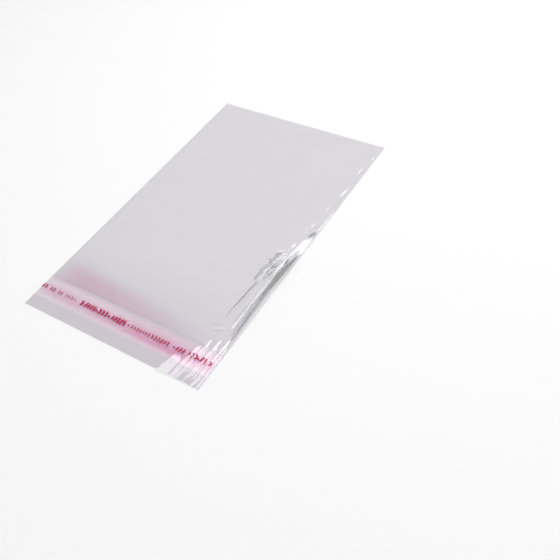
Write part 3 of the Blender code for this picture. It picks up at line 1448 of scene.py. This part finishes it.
@dataclass(frozen=True)
class MarkGroup:
    """A run of one kind of mark. Lengths are millimetres, and places are from the bag's left side."""

    kind: Mark
    start: float
    end: float
    pitch: float
    height: float
    stroke: float
    weight: float


# Each row gives the kind, the start, the end, the pitch, the height, the stroke's width and the ink weight
MARK_GROUPS = (
    MarkGroup(Mark.BARS, 1.2, 6.0, 2.4, 3.4, 0.95, 1.0),
    MarkGroup(Mark.CHEVRONS, 7.4, 12.6, 2.6, 3.2, 0.85, 0.9),
    MarkGroup(Mark.BARS, 14.8, 19.4, 2.3, 2.9, 0.75, 0.7),
    MarkGroup(Mark.CHEVRONS, 21.0, 26.6, 2.5, 2.6, 0.60, 0.5),
    MarkGroup(Mark.DASHES, 28.6, 30.8, 2.2, 1.0, 0.60, 0.5),
    MarkGroup(Mark.CHEVRONS, 34.8, 36.9, 2.6, 4.3, 1.35, 1.0),
    MarkGroup(Mark.BARS, 38.9, 46.4, 2.35, 4.4, 1.40, 1.0),
    MarkGroup(Mark.DOTS, 48.0, 48.8, 1.3, 1.0, 1.60, 1.0),
    MarkGroup(Mark.CHEVRONS, 50.0, 56.8, 2.7, 4.3, 1.30, 1.0),
    MarkGroup(Mark.DOTS, 58.6, 59.4, 1.3, 1.0, 1.60, 1.0),
    MarkGroup(Mark.BARS, 61.4, 71.2, 2.35, 4.4, 1.45, 1.0),
    MarkGroup(Mark.DASHES, 73.6, 74.5, 2.4, 1.0, 0.90, 0.8),
    MarkGroup(Mark.CHEVRONS, 76.8, 82.4, 2.3, 2.9, 0.75, 0.8),
    MarkGroup(Mark.BARS, 84.0, 91.0, 2.2, 2.9, 0.75, 0.8),
    MarkGroup(Mark.CHEVRONS, 92.8, 98.6, 2.5, 3.5, 0.90, 0.9),
    MarkGroup(Mark.BARS, 100.6, 107.4, 2.3, 3.6, 1.00, 1.0),
    MarkGroup(Mark.DASHES, 109.2, 110.1, 2.4, 1.0, 0.95, 0.9),
    MarkGroup(Mark.BARS, 112.4, 119.2, 2.3, 3.7, 1.05, 1.0),
    MarkGroup(Mark.CHEVRONS, 121.0, 126.4, 2.5, 3.7, 1.00, 1.0),
    MarkGroup(Mark.DOTS, 128.2, 129.0, 1.3, 1.0, 1.30, 1.0),
    MarkGroup(Mark.BARS, 130.8, 135.0, 2.2, 3.7, 1.05, 1.0),
    MarkGroup(Mark.CHEVRONS, 136.2, 137.6, 2.4, 3.5, 0.95, 1.0),
)


@dataclass
class PrintedLine:
    """The line of plain marks printed on the liner."""

    surface: BagSurface
    closure: Closure
    from_flap: float = 17.0
    ink: float = 0.00002
    clearance: float = 0.00005
    stations: int = 5
    slant: float = 0.28
    slant_spread: Range = (-0.4, 1.6)
    tallness: Range = (0.7, 1.0)
    chevron_depth: float = 0.55  # of half the chevron's height
    dash_length: float = 0.62  # of the dashes' pitch
    dot_drop: float = 0.5  # millimetres below the line's middle

    def strokes(self) -> np.ndarray:
        """Lay out every stroke.

        A bar is one stroke from its foot to its head, leaning by the slant. A chevron is two strokes that
        meet at mid height. A dot is a stroke as long as it is wide, and a dash is a level stroke.

        Returns:
            Rows of start X, start Y, end X, end Y and stroke width, in millimetres from the left side and
            from the printed line's middle, and ink weight.
        """
        rng = np.random.default_rng(SEED + 1)
        parts: list[np.ndarray] = []
        for group in MARK_GROUPS:
            x = np.arange(group.start, group.end, group.pitch)
            tall = group.height / 2 * rng.uniform(*self.tallness, len(x))
            lean = self.slant * tall * rng.uniform(*self.slant_spread, len(x))
            same = np.ones_like(x)
            tail = (group.stroke * same, group.weight * same)
            if group.kind is Mark.BARS:
                parts.append(np.column_stack((x - lean, -tall, x + lean, tall, *tail)))
            elif group.kind is Mark.CHEVRONS:
                tip = x + group.height / 2 * self.chevron_depth
                parts.append(np.column_stack((x, -tall, tip, 0 * x, *tail)))
                parts.append(np.column_stack((x, tall, tip, 0 * x, *tail)))
            elif group.kind is Mark.DOTS:
                half = group.stroke / 2
                low = 0 * x - self.dot_drop
                parts.append(np.column_stack((x - half, low, x + half, low, *tail)))
            else:
                parts.append(np.column_stack((x, 0 * x, x + self.dash_length * group.pitch, 0 * x, *tail)))
        return np.concatenate(parts)

    def build(self) -> list[bpy.types.Object]:
        """Build and dress the marks as one thin raised piece.

        Each stroke is a slab: stations along it, two sides and two levels. Its lower face lies a hair
        above the liner, and its sides are the stroke's line plus and minus half its width.

        Returns:
            The piece, in a list.
        """
        s = self.surface.sizes
        rows = self.strokes()
        start, end = rows[:, 0:2] * MM, rows[:, 2:4] * MM
        run = end - start
        aside = np.column_stack((-run[:, 1], run[:, 0])) / np.hypot(*run.T)[:, None]
        share = np.linspace(0.0, 1.0, self.stations)
        line = start[:, None] + share[None, :, None] * run[:, None]
        half = rows[:, 4, None, None] * MM / 2 * aside[:, None]
        plan = np.stack((line - half, line + half), axis=2)
        x = plan[..., 0] - s.width / 2
        y = plan[..., 1] + s.flap_edge + self.from_flap * MM
        low = self.surface.back(x, y) + self.closure.heights()[1] + s.liner / 2 + self.clearance
        levels = np.stack((low, low + self.ink), axis=3)
        plan_twice = [np.repeat(value[..., None], 2, axis=3) for value in (x, y)]
        vertices = np.stack((*plan_twice, levels), axis=4).reshape(-1, 3)
        index = np.arange(len(vertices)).reshape(len(rows), self.stations, 2, 2)
        corners = ((0, 0), (0, 1), (1, 1), (1, 0))
        loops = np.stack([index[:, :, i, j] for i, j in corners], axis=2)
        after = np.roll(loops, -1, axis=2)
        walls = np.stack((loops[:, :-1], after[:, :-1], after[:, 1:], loops[:, 1:]), axis=3)
        walls = walls.reshape(-1, 4)
        near = loops[:, 0, ::-1]
        far = loops[:, -1]
        mesh = bpy.data.meshes.new("printed_line")
        mesh.from_pydata(vertices.tolist(), [], np.concatenate((walls, near, far)).tolist())
        weight = np.repeat(rows[:, 5], self.stations * 4).astype(np.float32)
        mesh.attributes.new("weight", "FLOAT", "POINT").data.foreach_set("value", weight)
        piece = linked_object("printed_line", mesh)
        piece.data.materials.append(CrimsonInk().build())
        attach(piece, "root")
        return [piece]


# The studio


@dataclass(frozen=True)
class Softbox:
    """A soft studio lamp: a lit rectangle that faces the bag."""

    name: str
    place: tuple[float, float, float]
    size: tuple[float, float]
    brightness: float

    def build(self) -> None:
        """Hang the lamp. Its power is its brightness times pi times its area."""
        light = bpy.data.lights.new(self.name, "AREA")
        light.shape = "RECTANGLE"
        light.size, light.size_y = self.size
        light.energy = self.brightness * math.pi * self.size[0] * self.size[1]
        lamp = bpy.data.objects.new(self.name, light)
        lamp.location = self.place
        lamp.rotation_euler = Vector(self.place).to_track_quat("Z", "Y").to_euler()
        lamp.visible_camera = False
        bpy.context.scene.collection.objects.link(lamp)


@dataclass
class Studio:
    """The floor that sweeps up all round, the lamps, the room's own light and the camera."""

    floor_drop: float = 0.0003
    hub_radius: float = 0.02
    flat_radius: float = 1.7
    sweep_radius: float = 0.7
    wall_height: float = 1.8
    flat_rings: int = 18
    bend_rings: int = 13
    wall_rings: int = 6
    around: int = 96
    room: str = "#C7C7C7"
    lamps: Sequence[Softbox] = (
        Softbox("softbox_behind", (0.16, 0.46, 1.06), (0.80, 0.72), 3.5),
        Softbox("softbox_over", (-0.2, -0.5, 1.7), (1.5, 1.5), 0.72),
    )
    camera_place: tuple[float, float, float] = (0.2580, -0.25205, 0.3335)
    camera_turn: tuple[float, float, float] = (41.0445, 6.9250, 32.0539)
    lens: float = 46.0
    sensor: float = 36.0
    nearest: float = 0.01
    see_through_bounces: int = 32

    def build_sweep(self) -> None:
        """Build the floor: a profile turned round the Z axis.

        The profile runs level from the middle, through a quarter circle, and up the wall.
        """
        bend = np.linspace(0.0, np.pi / 2, self.bend_rings)
        flat = np.linspace(self.hub_radius, self.flat_radius, self.flat_rings, endpoint=False)
        round_out = self.flat_radius + self.sweep_radius * np.sin(bend)
        wall_out = np.full(self.wall_rings, self.flat_radius + self.sweep_radius)
        radius = np.concatenate((flat, round_out, wall_out))
        round_up = self.sweep_radius * (1.0 - np.cos(bend))
        wall_up = np.linspace(self.sweep_radius, self.wall_height, self.wall_rings + 1)[1:]
        height = np.concatenate((np.zeros(self.flat_rings), round_up, wall_up))
        turn = np.linspace(0.0, 2 * np.pi, self.around, endpoint=False)
        x = radius[:, None] * np.cos(turn)
        y = radius[:, None] * np.sin(turn)
        z = np.repeat(height[:, None], self.around, axis=1) - self.floor_drop
        rings = np.stack((x, y, z), axis=2).reshape(-1, 3)
        middle = np.array(((0.0, 0.0, -self.floor_drop),))
        index = np.arange(len(rings)).reshape(len(radius), self.around)
        after = np.roll(index, -1, axis=1)
        quads = np.stack((index[:-1], index[1:], after[1:], after[:-1]), axis=2).reshape(-1, 4)
        hub = np.stack((index[0], after[0], np.full(self.around, len(rings))), axis=1)
        mesh = bpy.data.meshes.new("studio_sweep")
        faces = quads.tolist() + hub.tolist()
        mesh.from_pydata(np.concatenate((rings, middle)).tolist(), [], faces)
        mesh.shade_smooth()
        sweep = linked_object("studio_sweep", mesh)
        sweep.data.materials.append(MattBoard().build())

    def build_room(self) -> None:
        """Give the room its own even light."""
        world = bpy.data.worlds.new("studio_room")
        world.use_nodes = True
        world.node_tree.nodes["Background"].inputs["Color"].default_value = linear(self.room)
        bpy.context.scene.world = world

    def build_camera(self) -> None:
        """Stand the camera where the photograph was taken from."""
        data = bpy.data.cameras.new("photo_camera")
        data.lens = self.lens
        data.sensor_width = self.sensor
        data.clip_start = self.nearest
        camera = bpy.data.objects.new("photo_camera", data)
        turn = Euler([math.radians(angle) for angle in self.camera_turn], "XYZ")
        camera.matrix_world = Matrix.Translation(self.camera_place) @ turn.to_matrix().to_4x4()
        bpy.context.scene.collection.objects.link(camera)
        bpy.context.scene.camera = camera

    def build(self) -> None:
        """Set up the whole studio."""
        self.build_sweep()
        self.build_room()
        for lamp in self.lamps:
            lamp.build()
        self.build_camera()
        scene = bpy.context.scene
        scene.view_settings.view_transform = "Standard"
        # A ray through creased film crosses up to a dozen walls
        scene.cycles.transparent_max_bounces = self.see_through_bounces


def report(name: str, builder: Callable[[], list[bpy.types.Object]]) -> None:
    """Build one sub-assembly and log each of its pieces.

    Args:
        name: what the sub-assembly is called.
        builder: the method that builds it.
    """
    for piece in builder():
        LOG.info("%s: %s, %d faces", name, piece.name, len(piece.data.polygons))


def main() -> None:
    """Build the studio and the bag."""
    logging.basicConfig(level=logging.INFO, format="%(message)s")
    Studio().build()
    surface = BagSurface()
    web = FilmWeb(surface)
    closure = Closure(surface, web)
    report("film web", web.build)
    report("closure", closure.build)
    report("printed line", PrintedLine(surface, closure).build)


if __name__ == "__main__":
    main()
